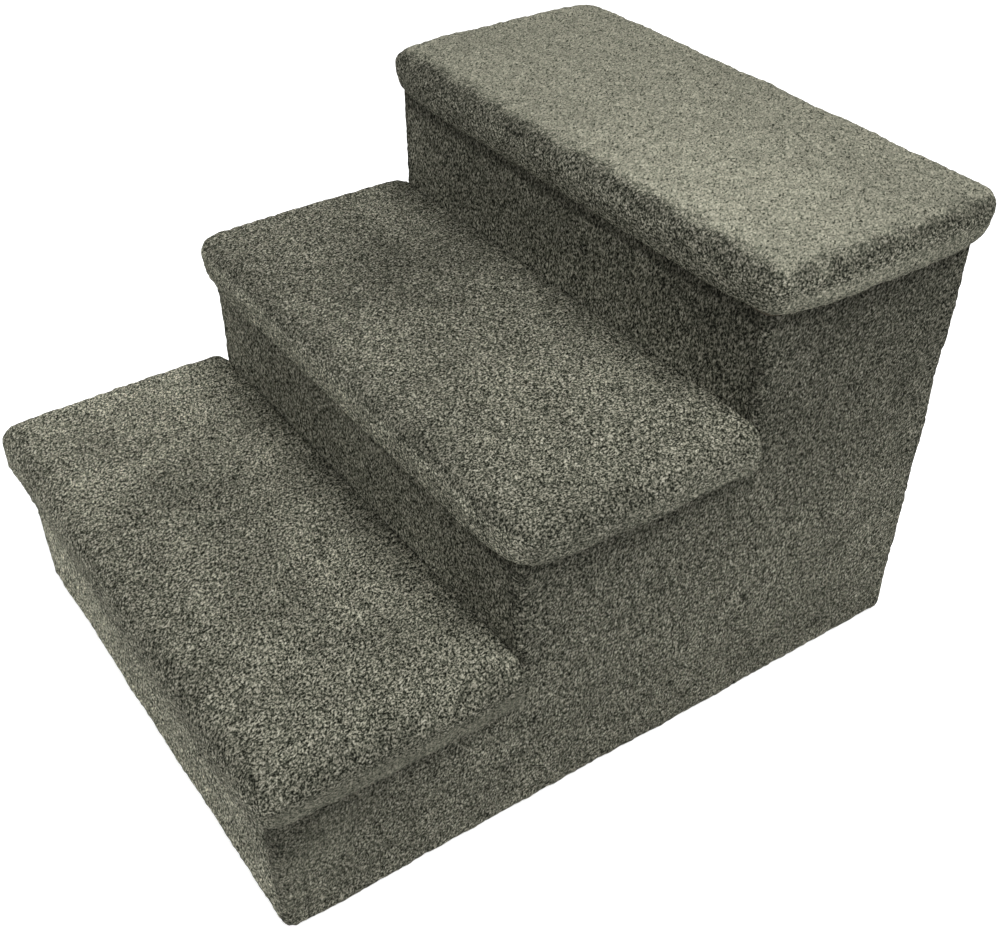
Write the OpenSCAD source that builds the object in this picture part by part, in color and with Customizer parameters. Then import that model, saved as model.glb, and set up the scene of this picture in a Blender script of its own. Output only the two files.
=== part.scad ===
// Three-step pet stairs: a stepped wooden box with three overhanging treads, all wrapped in cut-pile carpet.
// The stairs climb towards +Y, +X is the right-hand side, and the floor is at z = 0.

/* [Steps] */
// Width over the carpet of the two sides
stair_w = 428; // [300:1:700]
// Distance from the face of one riser to the face of the next
going = 182.5; // [150:0.5:300]
// Distance from the face of the upper riser to the back of the stairs
top_going = 185; // [150:0.5:300]
// Height of the lower tread's top above the floor
first_rise = 151.5; // [130:0.5:220]
// Height of each higher tread's top above the tread below it
rise = 108.5; // [100:0.5:200]
// How far each tread reaches out over the riser below it
nose_overhang = 11; // [3:0.5:18]
// How far each tread reaches out over the sides
side_overhang = 14.5; // [3:0.5:20]
// How far the upper tread reaches out over the back
back_overhang = 16; // [3:0.5:20]

/* [Boards] */
// Thickness of the side panels, riser boards and back board
panel_t = 12; // [9:0.5:18]
// Thickness of the tread boards
tread_board_t = 15; // [12:0.5:22]
// Radius of a tread board's corners, seen from above
tread_board_corner_r = 18; // [4:0.5:25]
// Radius of the rounded long and short edges of a tread board
tread_board_edge_r = 4; // [1:0.5:6]

/* [Carpet] */
// Thickness of the carpet, backing and pile together
carpet_t = 8; // [5:0.5:10]
// Width of the carpet turned in under each tread board
tread_return_w = 55; // [45:1:60]
// Height of the carpet turned up inside the bottom edge of the box
hem_return_h = 30; // [22:1:34]
// Radius left at the butted back edge of the lower and middle tread carpets
butt_edge_r = 3; // [1:0.5:5]

/* [Cleats and corner battens] */
// Thickness of a tread cleat, across the stairs
cleat_t = 18; // [15:0.5:22]
// Height of a tread cleat
cleat_h = 30; // [24:1:36]
// Side of the square corner battens
batten_t = 18; // [15:0.5:22]
// Gap between the turned-up hem and the foot of a corner batten
batten_foot_gap = 2; // [1:0.5:4]

/* [Fasteners] */
// Radius of a wood screw's shank
screw_r = 2; // [1.5:0.1:2.3]
// Radius of a wood screw's countersunk head
screw_head_r = 4; // [3.4:0.1:4.5]
// Height of a wood screw's countersunk head
screw_head_h = 2.6; // [2:0.1:3]
// Depth that a cleat or batten screw bites into a side panel
panel_bite = 7; // [5:0.5:8]
// Depth that a tread screw bites into a tread board
tread_bite = 9; // [6:0.5:11]
// Length of the nails that hold the riser boards and the back board
nail_l = 35; // [28:1:38]
// Radius of a nail's shank
nail_r = 1.1; // [0.8:0.1:1.4]
// Radius of a nail's flat head
nail_head_r = 2.6; // [2:0.1:3]
// Thickness of a nail's head
nail_head_t = 1; // [0.8:0.1:1.4]
// Width of a staple's crown
staple_w = 11; // [9:0.5:13]
// Length of a staple's legs
staple_l = 12; // [10:0.5:13]
// Thickness of the staple wire
staple_wire = 1.2; // [0.9:0.1:1.5]

/* [Hidden] */
$fn = 48;

// Overrun that lets every cut break cleanly through
cut = 1;
// Clearance between a fastener and its hole
hole_gap = 0.1;
// Width and depth of one bar of a screw's cross recess
recess_w = 1;
recess_d = 1.5;
// Length of the point of a screw and of a nail
screw_tip_l = 5;
nail_tip_l = 3;

steps = 3;
tread_t = tread_board_t + 2 * carpet_t;
skin_t = carpet_t + panel_t;
body_d = going * (steps - 1) + top_going;
overall_d = nose_overhang + body_d + back_overhang;

// Half widths of the carpeted box, of its boards, of the hollow between the side panels and inside the hem
box_x = stair_w / 2;
board_x = box_x - carpet_t;
hollow_x = board_x - panel_t;
hem_x = hollow_x - carpet_t;
tread_x = box_x + side_overhang;

// Carpeted face of the front and the back of the box
front_y = nose_overhang - overall_d / 2;
back_y = front_y + body_d;

// Carpeted face of riser i, top of tread i and underside of tread i, counted from zero at the bottom
function riser_y(i) = front_y + i * going;
function tread_top(i) = first_rise + i * rise;
function tread_foot(i) = tread_top(i) - tread_t;

// Where the side panel stands behind the board of riser i, and where riser i starts
function panel_y(i) = riser_y(i) + skin_t;
function riser_foot(i) = i == 0 ? carpet_t : tread_foot(i - 1);

// Outer corners of the wrapped tread i
function tread_low(i) = [-tread_x, riser_y(i) - nose_overhang, tread_foot(i)];
function tread_back(i) = i == steps - 1 ? back_y + back_overhang : riser_y(i + 1);
function tread_high(i) = [tread_x, tread_back(i), tread_top(i)];

// Ends of the cleats under tread i, and the corner battens
function cleat_front(i) = panel_y(i);
function cleat_back(i) = i == steps - 1 ? back_y - skin_t : panel_y(i + 1);
cleat_in_x = hollow_x - cleat_t;
batten_in_x = hollow_x - batten_t;
batten_foot = carpet_t + hem_return_h + batten_foot_gap;
front_batten_y = front_y + skin_t + batten_t / 2;
back_batten_y = back_y - skin_t - batten_t / 2;
front_batten_top = tread_foot(0) - cleat_h;
back_batten_top = tread_foot(steps - 1) - cleat_h;

// Places of fasteners, as shares of the piece that they go through
cleat_screw_shares = [0.14, 0.5, 0.86];
tread_screw_shares = [0.3, 0.7];
batten_screw_shares = [0.3, 0.7];
riser_nail_shares = [0.18, 0.46, 0.72];
back_nail_shares = [0.1, 0.3, 0.5, 0.72];
long_staple_shares = [0.08, 0.29, 0.5, 0.71, 0.92];
short_staple_shares = [0.35, 0.65];
hem_front_shares = [0.08, 0.29, 0.5, 0.71, 0.92];
hem_side_shares = [0.1, 0.26, 0.42, 0.58, 0.74, 0.9];
// How far a staple lies from the cut edge of the carpet, as a share of the turned-in width
staple_edge_share = 0.15;
// Height of a hem staple, as a share of the turned-up height
hem_staple_share = 0.6;
hem_staple_z = carpet_t + hem_return_h * hem_staple_share;

// Line of the nails in the front and back edges of a side panel, and the lengths of the screws
nail_x = board_x - panel_t / 2;
cleat_screw_l = cleat_t + panel_bite;
batten_screw_l = batten_t + panel_bite;
tread_screw_l = cleat_h + carpet_t + tread_bite;

// A point a given share of the way from one value to another
function between(low, high, share) = low + (high - low) * share;

// A box between its lowest and its highest corner
module span(low, high) {
    translate(low)
        cube(high - low);
}

// What a rounded corner takes off a square one that has its corner at the origin
module corner_waste(r) {
    if (r > 0)
        difference() {
            translate([-cut, -cut])
                square(r + cut);
            translate([r, r])
                circle(r);
        }
}

// A rectangle with its four radii given anticlockwise from the lowest corner
module round_rect(low, high, radii) {
    difference() {
        translate(low)
            square(high - low);
        translate(low)
            corner_waste(radii[0]);
        translate([high[0], low[1]])
            mirror([1, 0])
                corner_waste(radii[1]);
        translate(high)
            rotate(180)
                corner_waste(radii[2]);
        translate([low[0], high[1]])
            mirror([0, 1])
                corner_waste(radii[3]);
    }
}

// A flat shape drawn in Y and Z, carried along X between two places
module along_x(from, to) {
    translate([from, 0, 0])
        rotate([90, 0, 90])
            linear_extrude(to - from)
                children();
}

// A flat shape drawn in X and Z, carried along Y between two places
module along_y(from, to) {
    translate([0, to, 0])
        rotate([90, 0, 0])
            linear_extrude(to - from)
                children();
}

// A flat shape drawn in X and Y, carried along Z between two places
module along_z(from, to) {
    translate([0, 0, from])
        linear_extrude(to - from)
            children();
}

// A block whose edges are rounded in all three directions: where the three extrusions meet
module soft_block(low, high, plan_rs, side_rs, end_rs) {
    intersection() {
        along_z(low[2], high[2])
            round_rect([low[0], low[1]], [high[0], high[1]], plan_rs);
        along_x(low[0], high[0])
            round_rect([low[1], low[2]], [high[1], high[2]], side_rs);
        along_y(low[1], high[1])
            round_rect([low[0], low[2]], [high[0], high[2]], end_rs);
    }
}

// The same shape on the right-hand side, or mirrored to the left-hand side
module on_side(side) {
    if (side < 0)
        mirror([1, 0, 0])
            children();
    else
        children();
}

// Fasteners, each pointing along +Z with the top of its head at the origin
module screw_body(l, gap) {
    cylinder(h = screw_head_h, r1 = screw_head_r + gap, r2 = screw_r + gap);
    cylinder(h = l - screw_tip_l, r = screw_r + gap);
    translate([0, 0, l - screw_tip_l])
        cylinder(h = screw_tip_l, r1 = screw_r + gap, r2 = 0);
}

module wood_screw(l) {
    difference() {
        screw_body(l, 0);
        for (turn = [0, 90])
            rotate(turn)
                translate([-screw_r, -recess_w / 2, -cut])
                    cube([2 * screw_r, recess_w, recess_d + cut]);
    }
}

module screw_hole(l) {
    screw_body(l, hole_gap);
}

module nail_body(gap) {
    cylinder(h = nail_head_t, r = nail_head_r + gap);
    cylinder(h = nail_l - nail_tip_l, r = nail_r + gap);
    translate([0, 0, nail_l - nail_tip_l])
        cylinder(h = nail_tip_l, r1 = nail_r + gap, r2 = 0);
}

// A staple that lies on the carpet: its crown runs along X below the origin and its legs point along +Z
module staple() {
    translate([-staple_w / 2, -staple_wire / 2, -staple_wire])
        cube([staple_w, staple_wire, staple_wire]);
    staple_legs(0, staple_wire / 2);
}

// The legs of a staple, with a gap round them, that start the given overrun before the carpet's face
module staple_legs(gap, overrun) {
    wire = staple_wire + 2 * gap;
    for (end = [-1, 1])
        translate([end * (staple_w - staple_wire) / 2 - wire / 2, -wire / 2, -overrun])
            cube([wire, wire, overrun + staple_l + gap]);
}

module staple_holes() {
    staple_legs(hole_gap, cut);
}

// Each kind of fastener put in its places on the right-hand side
module at_cleat_screws(i) {
    for (share = cleat_screw_shares)
        translate([cleat_in_x, between(cleat_front(i), cleat_back(i), share), tread_foot(i) - cleat_h / 2])
            rotate([0, 90, 0])
                children();
}

module at_tread_screws(i) {
    for (share = tread_screw_shares)
        translate([
            hollow_x - cleat_t / 2,
            between(cleat_front(i), cleat_back(i), share),
            tread_foot(i) - cleat_h
        ])
            children();
}

module at_batten_screws(mid_y, top_z) {
    for (share = batten_screw_shares)
        translate([batten_in_x, mid_y, between(batten_foot, top_z, share)])
            rotate([0, 90, 0])
                children();
}

module at_riser_nails(i) {
    for (share = riser_nail_shares)
        translate([nail_x, riser_y(i) + carpet_t, between(riser_foot(i), tread_foot(i), share)])
            rotate([-90, 0, 0])
                children();
}

module at_back_nails() {
    for (share = back_nail_shares)
        translate([nail_x, back_y - carpet_t, between(carpet_t, tread_foot(steps - 1), share)])
            rotate([90, 0, 0])
                children();
}

// Staples under tread i, set in from the cut edge of its turned-in carpet
module at_tread_staples(i) {
    inset = carpet_t + tread_return_w * (1 - staple_edge_share);
    low = tread_low(i);
    high = tread_high(i);
    for (share = long_staple_shares)
        for (y = [low[1] + inset, high[1] - inset])
            translate([between(low[0] + inset, high[0] - inset, share), y, low[2]])
                children();
    for (share = short_staple_shares)
        for (x = [low[0] + inset, high[0] - inset])
            translate([x, between(low[1] + inset, high[1] - inset, share), low[2]])
                rotate(90)
                    children();
}

module at_front_hem_staples() {
    for (share = hem_front_shares)
        translate([between(-hem_x, hem_x, share), front_y + skin_t + carpet_t, hem_staple_z])
            rotate([90, 0, 0])
                children();
}

module at_back_hem_staples() {
    for (share = hem_front_shares)
        translate([between(-hem_x, hem_x, share), back_y - skin_t - carpet_t, hem_staple_z])
            rotate([-90, 0, 0])
                children();
}

module at_side_hem_staples() {
    for (share = hem_side_shares)
        translate([hem_x, between(front_y + skin_t, back_y - skin_t, share), hem_staple_z])
            rotate([0, 90, 0])
                rotate(90)
                    children();
}

// A side panel: one stepped board, its top edges under the treads and its front edges behind the risers
module side_panel(side) {
    color("burlywood")
        on_side(side)
            difference() {
                along_x(hollow_x, board_x)
                    polygon([
                        [panel_y(0), carpet_t],
                        [back_y - skin_t, carpet_t],
                        [back_y - skin_t, tread_foot(2)],
                        [panel_y(2), tread_foot(2)],
                        [panel_y(2), tread_foot(1)],
                        [panel_y(1), tread_foot(1)],
                        [panel_y(1), tread_foot(0)],
                        [panel_y(0), tread_foot(0)]
                    ]);
                for (i = [0:steps - 1]) {
                    at_cleat_screws(i)
                        screw_hole(cleat_screw_l);
                    at_riser_nails(i)
                        nail_body(hole_gap);
                }
                at_back_nails()
                    nail_body(hole_gap);
                at_batten_screws(front_batten_y, front_batten_top)
                    screw_hole(batten_screw_l);
                at_batten_screws(back_batten_y, back_batten_top)
                    screw_hole(batten_screw_l);
                at_side_hem_staples()
                    staple_holes();
            }
}

// The board of riser i, nailed across the front edges of the side panels
module riser_board(i) {
    color("burlywood")
        difference() {
            span(
                [-board_x, riser_y(i) + carpet_t, riser_foot(i)],
                [board_x, panel_y(i), tread_foot(i)]
            );
            for (side = [-1, 1])
                on_side(side)
                    at_riser_nails(i)
                        nail_body(hole_gap);
            if (i == 0)
                at_front_hem_staples()
                    staple_holes();
        }
}

module back_board() {
    color("burlywood")
        difference() {
            span(
                [-board_x, back_y - skin_t, carpet_t],
                [board_x, back_y - carpet_t, tread_foot(steps - 1)]
            );
            for (side = [-1, 1])
                on_side(side)
                    at_back_nails()
                        nail_body(hole_gap);
            at_back_hem_staples()
                staple_holes();
        }
}

// The back edges of tread i: the upper tread hangs over the back, the others butt against the next riser
function back_edge_r(i, r) = i == steps - 1 ? tread_board_edge_r + r : (r > 0 ? butt_edge_r : 0);

// The outline of tread i drawn in by a wall: nothing for the carpet's outside, one skin for the board
module tread_block(i, wall) {
    r = carpet_t - wall;
    edge = tread_board_edge_r + r;
    corner = tread_board_corner_r + r;
    inset = [wall, wall, wall];
    soft_block(
        tread_low(i) + inset,
        tread_high(i) - inset,
        [corner, corner, corner, corner],
        [edge, back_edge_r(i, r), back_edge_r(i, r), edge],
        [edge, edge, edge, edge]
    );
}

module tread_board(i) {
    color("tan")
        difference() {
            tread_block(i, carpet_t);
            for (side = [-1, 1])
                on_side(side)
                    at_tread_screws(i)
                        screw_hole(tread_screw_l);
            at_tread_staples(i)
                staple_holes();
        }
}

// The carpet of tread i: over the top, round all four edges and a hand's width in underneath
module tread_carpet(i) {
    window = [carpet_t + tread_return_w, carpet_t + tread_return_w, 0];
    color("darkseagreen")
        difference() {
            tread_block(i, 0);
            tread_block(i, carpet_t);
            span(
                tread_low(i) + window - [0, 0, cut],
                [tread_high(i)[0], tread_high(i)[1], tread_foot(i)] - window + [0, 0, carpet_t + cut]
            );
            for (side = [-1, 1])
                on_side(side)
                    at_tread_screws(i)
                        screw_hole(tread_screw_l);
            at_tread_staples(i)
                staple_holes();
        }
}

// A cleat under the end of tread i, screwed to the side panel
module cleat(i, side) {
    color("wheat")
        on_side(side)
            difference() {
                span(
                    [cleat_in_x, cleat_front(i), tread_foot(i) - cleat_h],
                    [hollow_x, cleat_back(i), tread_foot(i)]
                );
                at_cleat_screws(i)
                    screw_hole(cleat_screw_l);
                at_tread_screws(i)
                    screw_hole(tread_screw_l);
            }
}

// A batten in a corner of the box, from above the hem to under the cleat
module corner_batten(mid_y, top_z, side) {
    color("wheat")
        on_side(side)
            difference() {
                span(
                    [batten_in_x, mid_y - batten_t / 2, batten_foot],
                    [hollow_x, mid_y + batten_t / 2, top_z]
                );
                at_batten_screws(mid_y, top_z)
                    screw_hole(batten_screw_l);
            }
}

// The outside of the carpeted box: three storeys, with its upright corners and bottom edges rounded
module box_envelope() {
    r = carpet_t;
    intersection() {
        union()
            for (i = [0:steps - 1])
                along_z(0, tread_foot(i))
                    round_rect([-box_x, riser_y(i)], [box_x, back_y], [r, r, r, r]);
        along_x(-box_x, box_x)
            round_rect([front_y, 0], [back_y, tread_foot(steps - 1)], [r, r, 0, 0]);
        along_y(front_y, back_y)
            round_rect([-box_x, 0], [box_x, tread_foot(steps - 1)], [r, r, 0, 0]);
    }
}

// The hem seen end on, from inside the outer carpet to its own inner face, with that bottom corner rounded
module hem_section(outer, inner) {
    radii = inner > outer ? [0, carpet_t, 0, 0] : [carpet_t, 0, 0, 0];
    round_rect([min(outer, inner), 0], [max(outer, inner), carpet_t + hem_return_h], radii);
}

// The carpet of one side: the whole side, under its bottom edge and up inside, stapled
module side_carpet(side) {
    color("darkseagreen")
        on_side(side)
            difference() {
                intersection() {
                    box_envelope();
                    union() {
                        span([board_x, front_y, 0], [box_x, back_y, tread_foot(steps - 1)]);
                        along_y(front_y + skin_t, back_y - skin_t)
                            hem_section(box_x - carpet_t / 2, hem_x);
                    }
                }
                span(
                    [hollow_x, front_y + skin_t, carpet_t],
                    [board_x, back_y - skin_t, carpet_t + hem_return_h + cut]
                );
                at_side_hem_staples()
                    staple_holes();
            }
}

// The carpet of the lower riser or the back, with its hem, which is as wide as the board up to the side panels
// and then only as wide as the hollow. Inward is 1 where the box lies towards +Y of the face, and -1 where it
// lies towards -Y.
module end_carpet(face, inward, top_z) {
    near = face + inward * carpet_t;
    far = face + inward * skin_t;
    middle = face + inward * carpet_t / 2;
    difference() {
        intersection() {
            box_envelope();
            union() {
                span([-board_x, min(face, near), 0], [board_x, max(face, near), top_z]);
                span([-board_x, min(middle, far), 0], [board_x, max(middle, far), carpet_t]);
                along_x(-hem_x, hem_x)
                    hem_section(middle, far + inward * carpet_t);
            }
        }
        span(
            [-board_x, min(near, far), carpet_t],
            [board_x, max(near, far), carpet_t + hem_return_h + cut]
        );
    }
}

module lower_riser_carpet() {
    color("darkseagreen")
        difference() {
            end_carpet(front_y, 1, tread_foot(0));
            at_front_hem_staples()
                staple_holes();
        }
}

module back_carpet() {
    color("darkseagreen")
        difference() {
            end_carpet(back_y, -1, tread_foot(steps - 1));
            at_back_hem_staples()
                staple_holes();
        }
}

// The carpet of the middle or upper riser, butted between the tread below and the tread above
module riser_carpet(i) {
    color("darkseagreen")
        span(
            [-board_x, riser_y(i), riser_foot(i)],
            [board_x, riser_y(i) + carpet_t, tread_foot(i)]
        );
}

module cleat_screws() {
    color("silver")
        for (side = [-1, 1])
            on_side(side)
                for (i = [0:steps - 1])
                    at_cleat_screws(i)
                        wood_screw(cleat_screw_l);
}

module tread_screws() {
    color("silver")
        for (side = [-1, 1])
            on_side(side)
                for (i = [0:steps - 1])
                    at_tread_screws(i)
                        wood_screw(tread_screw_l);
}

module batten_screws() {
    color("silver")
        for (side = [-1, 1])
            on_side(side) {
                at_batten_screws(front_batten_y, front_batten_top)
                    wood_screw(batten_screw_l);
                at_batten_screws(back_batten_y, back_batten_top)
                    wood_screw(batten_screw_l);
            }
}

module riser_nails() {
    color("gray")
        for (side = [-1, 1])
            on_side(side)
                for (i = [0:steps - 1])
                    at_riser_nails(i)
                        nail_body(0);
}

module back_nails() {
    color("gray")
        for (side = [-1, 1])
            on_side(side)
                at_back_nails()
                    nail_body(0);
}

module tread_staples() {
    color("lightsteelblue")
        for (i = [0:steps - 1])
            at_tread_staples(i)
                staple();
}

module hem_staples() {
    color("lightsteelblue") {
        at_front_hem_staples()
            staple();
        at_back_hem_staples()
            staple();
        for (side = [-1, 1])
            on_side(side)
                at_side_hem_staples()
                    staple();
    }
}

side_panel(-1);  // left_side_panel
side_panel(1);  // right_side_panel
riser_board(0);  // lower_riser_board
riser_board(1);  // middle_riser_board
riser_board(2);  // upper_riser_board
back_board();
tread_board(0);  // lower_tread_board
tread_board(1);  // middle_tread_board
tread_board(2);  // upper_tread_board
cleat(0, -1);  // lower_left_cleat
cleat(0, 1);  // lower_right_cleat
cleat(1, -1);  // middle_left_cleat
cleat(1, 1);  // middle_right_cleat
cleat(2, -1);  // upper_left_cleat
cleat(2, 1);  // upper_right_cleat
corner_batten(front_batten_y, front_batten_top, -1);  // front_left_batten
corner_batten(front_batten_y, front_batten_top, 1);  // front_right_batten
corner_batten(back_batten_y, back_batten_top, -1);  // back_left_batten
corner_batten(back_batten_y, back_batten_top, 1);  // back_right_batten
tread_carpet(0);  // lower_tread_carpet
tread_carpet(1);  // middle_tread_carpet
tread_carpet(2);  // upper_tread_carpet
lower_riser_carpet();
riser_carpet(1);  // middle_riser_carpet
riser_carpet(2);  // upper_riser_carpet
side_carpet(-1);  // left_side_carpet
side_carpet(1);  // right_side_carpet
back_carpet();
cleat_screws();
tread_screws();
batten_screws();
riser_nails();
back_nails();
tread_staples();
hem_staples();
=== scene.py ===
"""Three-step pet stairs wrapped in cut-pile carpet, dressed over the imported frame.

The stairs climb towards +Y, +X is the right-hand side and the floor is at z = 0. Every length is in metres.
Each carpet is one closed surface that replaces its plain CAD solid, and the boards, cleats, battens and
fasteners keep their CAD shapes and get a finish.
"""
import math

import bmesh
import bpy
import numpy as np
from mathutils import Matrix, Vector


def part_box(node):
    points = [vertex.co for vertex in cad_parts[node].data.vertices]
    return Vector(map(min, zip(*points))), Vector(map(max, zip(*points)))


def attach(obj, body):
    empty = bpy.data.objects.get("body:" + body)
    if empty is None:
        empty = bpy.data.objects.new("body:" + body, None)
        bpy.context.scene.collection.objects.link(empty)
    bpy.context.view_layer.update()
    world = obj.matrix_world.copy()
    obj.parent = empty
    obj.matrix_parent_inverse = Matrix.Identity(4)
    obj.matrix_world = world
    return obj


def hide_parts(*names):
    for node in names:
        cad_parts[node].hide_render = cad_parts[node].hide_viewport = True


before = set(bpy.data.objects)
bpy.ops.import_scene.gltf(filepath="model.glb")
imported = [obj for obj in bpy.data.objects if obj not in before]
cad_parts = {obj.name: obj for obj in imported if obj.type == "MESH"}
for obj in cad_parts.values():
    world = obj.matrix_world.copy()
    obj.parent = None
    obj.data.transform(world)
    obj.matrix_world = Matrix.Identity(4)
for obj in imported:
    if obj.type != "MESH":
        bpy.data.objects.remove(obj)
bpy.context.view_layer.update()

MM = 0.001

# Places read from the frame
STEPS = ("lower", "middle", "upper")
LAST = len(STEPS) - 1
TREADS = [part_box(step + "_tread_carpet") for step in STEPS]
BOARD_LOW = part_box("lower_tread_board")[0]
CARPET_T = BOARD_LOW[2] - TREADS[0][0][2]
PANEL_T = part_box("right_side_panel")[1][0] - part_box("right_side_panel")[0][0]
SIDE_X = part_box("right_side_carpet")[1][0]
BOARD_X = SIDE_X - CARPET_T
HOLLOW_X = BOARD_X - PANEL_T
HEM_X = HOLLOW_X - CARPET_T
SKIN_T = CARPET_T + PANEL_T
RISER_Y = [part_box(step + "_riser_carpet")[0][1] for step in STEPS]
BACK_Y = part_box("back_carpet")[1][1]
TREAD_FOOT = [box[0][2] for box in TREADS]
TREAD_T = TREADS[0][1][2] - TREADS[0][0][2]

# How the carpet bends: the radius of a wrapped tread's edges, of each tread's lower edge in front and at its right
# end, of a butted back edge, and of the lower edge where the carpet is slack, as it partly is at the corners
NOSE_R = 12 * MM
FOOT_R = ((3.5 * MM, 7 * MM), (9 * MM, 9 * MM), (12 * MM, 10 * MM))
BUTT_R = 1.5 * MM
SLACK_R = 18 * MM
CORNER_SLACK = 0.3

# The plan radii of each tread's corners, left and right in front and then behind. In the same order, how far the
# folded carpet is pulled in at their foot, how far along each side that reaches, and its share on top
TREAD_PLAN_R = (
    ((20 * MM, 16 * MM), (18 * MM, 18 * MM)),
    ((20 * MM, 16 * MM), (18 * MM, 18 * MM)),
    ((22 * MM, 16 * MM), (24 * MM, 24 * MM)),
)
TREAD_PULL = (
    ((0.0, 2 * MM), (0.0, 0.0)),
    ((6 * MM, 7 * MM), (0.0, 0.0)),
    ((7 * MM, 7 * MM), (1 * MM, 6 * MM)),
)
PULL_REACH = 36 * MM
PULL_ON_TOP = 0.4

# The board inside a wrapped tread: its corners, its edges and the edge against a riser. Then how far the carpet
# is turned in under a tread from its outside, and where the hem inside the box ends
BOARD_PLAN_R = 18 * MM
BOARD_EDGE_R = 4 * MM
SQUARE_R = 0.5 * MM
TURN_IN = 63 * MM
HEM_TOP = 38 * MM

# The spacing of points over the pile, and in the places that hardly show. In the corner squares of a tread's top
# they are closer together. A side's columns go over to even spacing on the way down from a corner of the storey
# above. Points nearer than the weld are one, and its shift keeps round sizes off the borders between two cells
PILE_STEP = 1.45 * MM
HEM_STEP = 3.2 * MM
CORNER = 4 * MM
CORNER_POINTS = 9
CURL_POINTS = 6
EASE_DOWN = 14 * MM
WELD = 0.01 * MM
WELD_SHIFT = 0.37

# The relief of the pile: layers of noise as (gain, cell size), and how high each kind lifts it in mm. Pressed
# under a board or cut at the window, the pile has only a share of that
CLUMPS = ((0.3, 6.1 * MM), (0.7, 3.1 * MM))
WAVES = ((1.0, 46 * MM), (0.6, 19 * MM))
CLUMP_LIFT = 0.9
WAVE_LIFT = 0.7
HEM_PILE = 0.8
CUT_PILE = 0.3

# Odd multipliers that mix the corners of a lattice and a seed, and then the bits of the result
MIX_X, MIX_Y, MIX_Z, MIX_SEED = 73856093, 19349663, 83492791, 2654435761
MIX_ONCE, MIX_AGAIN = 1274126177, 2246822519
LOW_32_BITS = 0xFFFFFFFF


def steps_over(length, step):
    """How many equal steps, a thousandth longer than the given one at most, cover a length."""
    return max(1, math.ceil(length / step - 0.001))


def spread(start, end, step):
    """Evenly spaced values from start to end, both included."""
    return np.linspace(start, end, steps_over(abs(end - start), step) + 1)


def quarter_turn(radius):
    """Angles over a quarter turn, as many as the pile's spacing asks for along its arc."""
    return np.linspace(0.0, math.pi / 2, steps_over(radius * math.pi / 2, PILE_STEP) + 1)


def smooth(edge0, edge1, value):
    """A smooth step: 0 below edge0, 1 above edge1, and 3t^2 - 2t^3 between them."""
    t = np.clip((value - edge0) / (edge1 - edge0), 0.0, 1.0)
    return t * t * (3.0 - 2.0 * t)


def lattice_noise(points, cell, seed):
    """Smooth noise from -1 to 1: a fixed random value at each corner of a cubic lattice, blended by the smooth
    step of the place within the cell along each axis."""
    place = np.asarray(points) / cell
    base = np.floor(place).astype(np.int64)
    part = place - base
    part = part * part * (3.0 - 2.0 * part)
    total = np.zeros(len(place))
    for corner in range(8):
        step = np.array([corner & 1, corner >> 1 & 1, corner >> 2 & 1])
        at = base + step
        mixed = at[:, 0] * MIX_X ^ at[:, 1] * MIX_Y ^ at[:, 2] * MIX_Z ^ seed * MIX_SEED
        mixed = (mixed ^ (mixed >> 13)) * MIX_ONCE & LOW_32_BITS
        mixed = (mixed ^ (mixed >> 16)) * MIX_AGAIN & LOW_32_BITS
        weight = np.prod(np.where(step, part, 1.0 - part), axis=1)
        total += weight * ((mixed >> 8) / float(1 << 23) - 1.0)
    return total


def layered_noise(points, seed, layers):
    """The sum of (gain, cell size) layers of noise, with seeds that count up from the given one."""
    return sum(gain * lattice_noise(points, cell, seed + n) for n, (gain, cell) in enumerate(layers))


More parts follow.
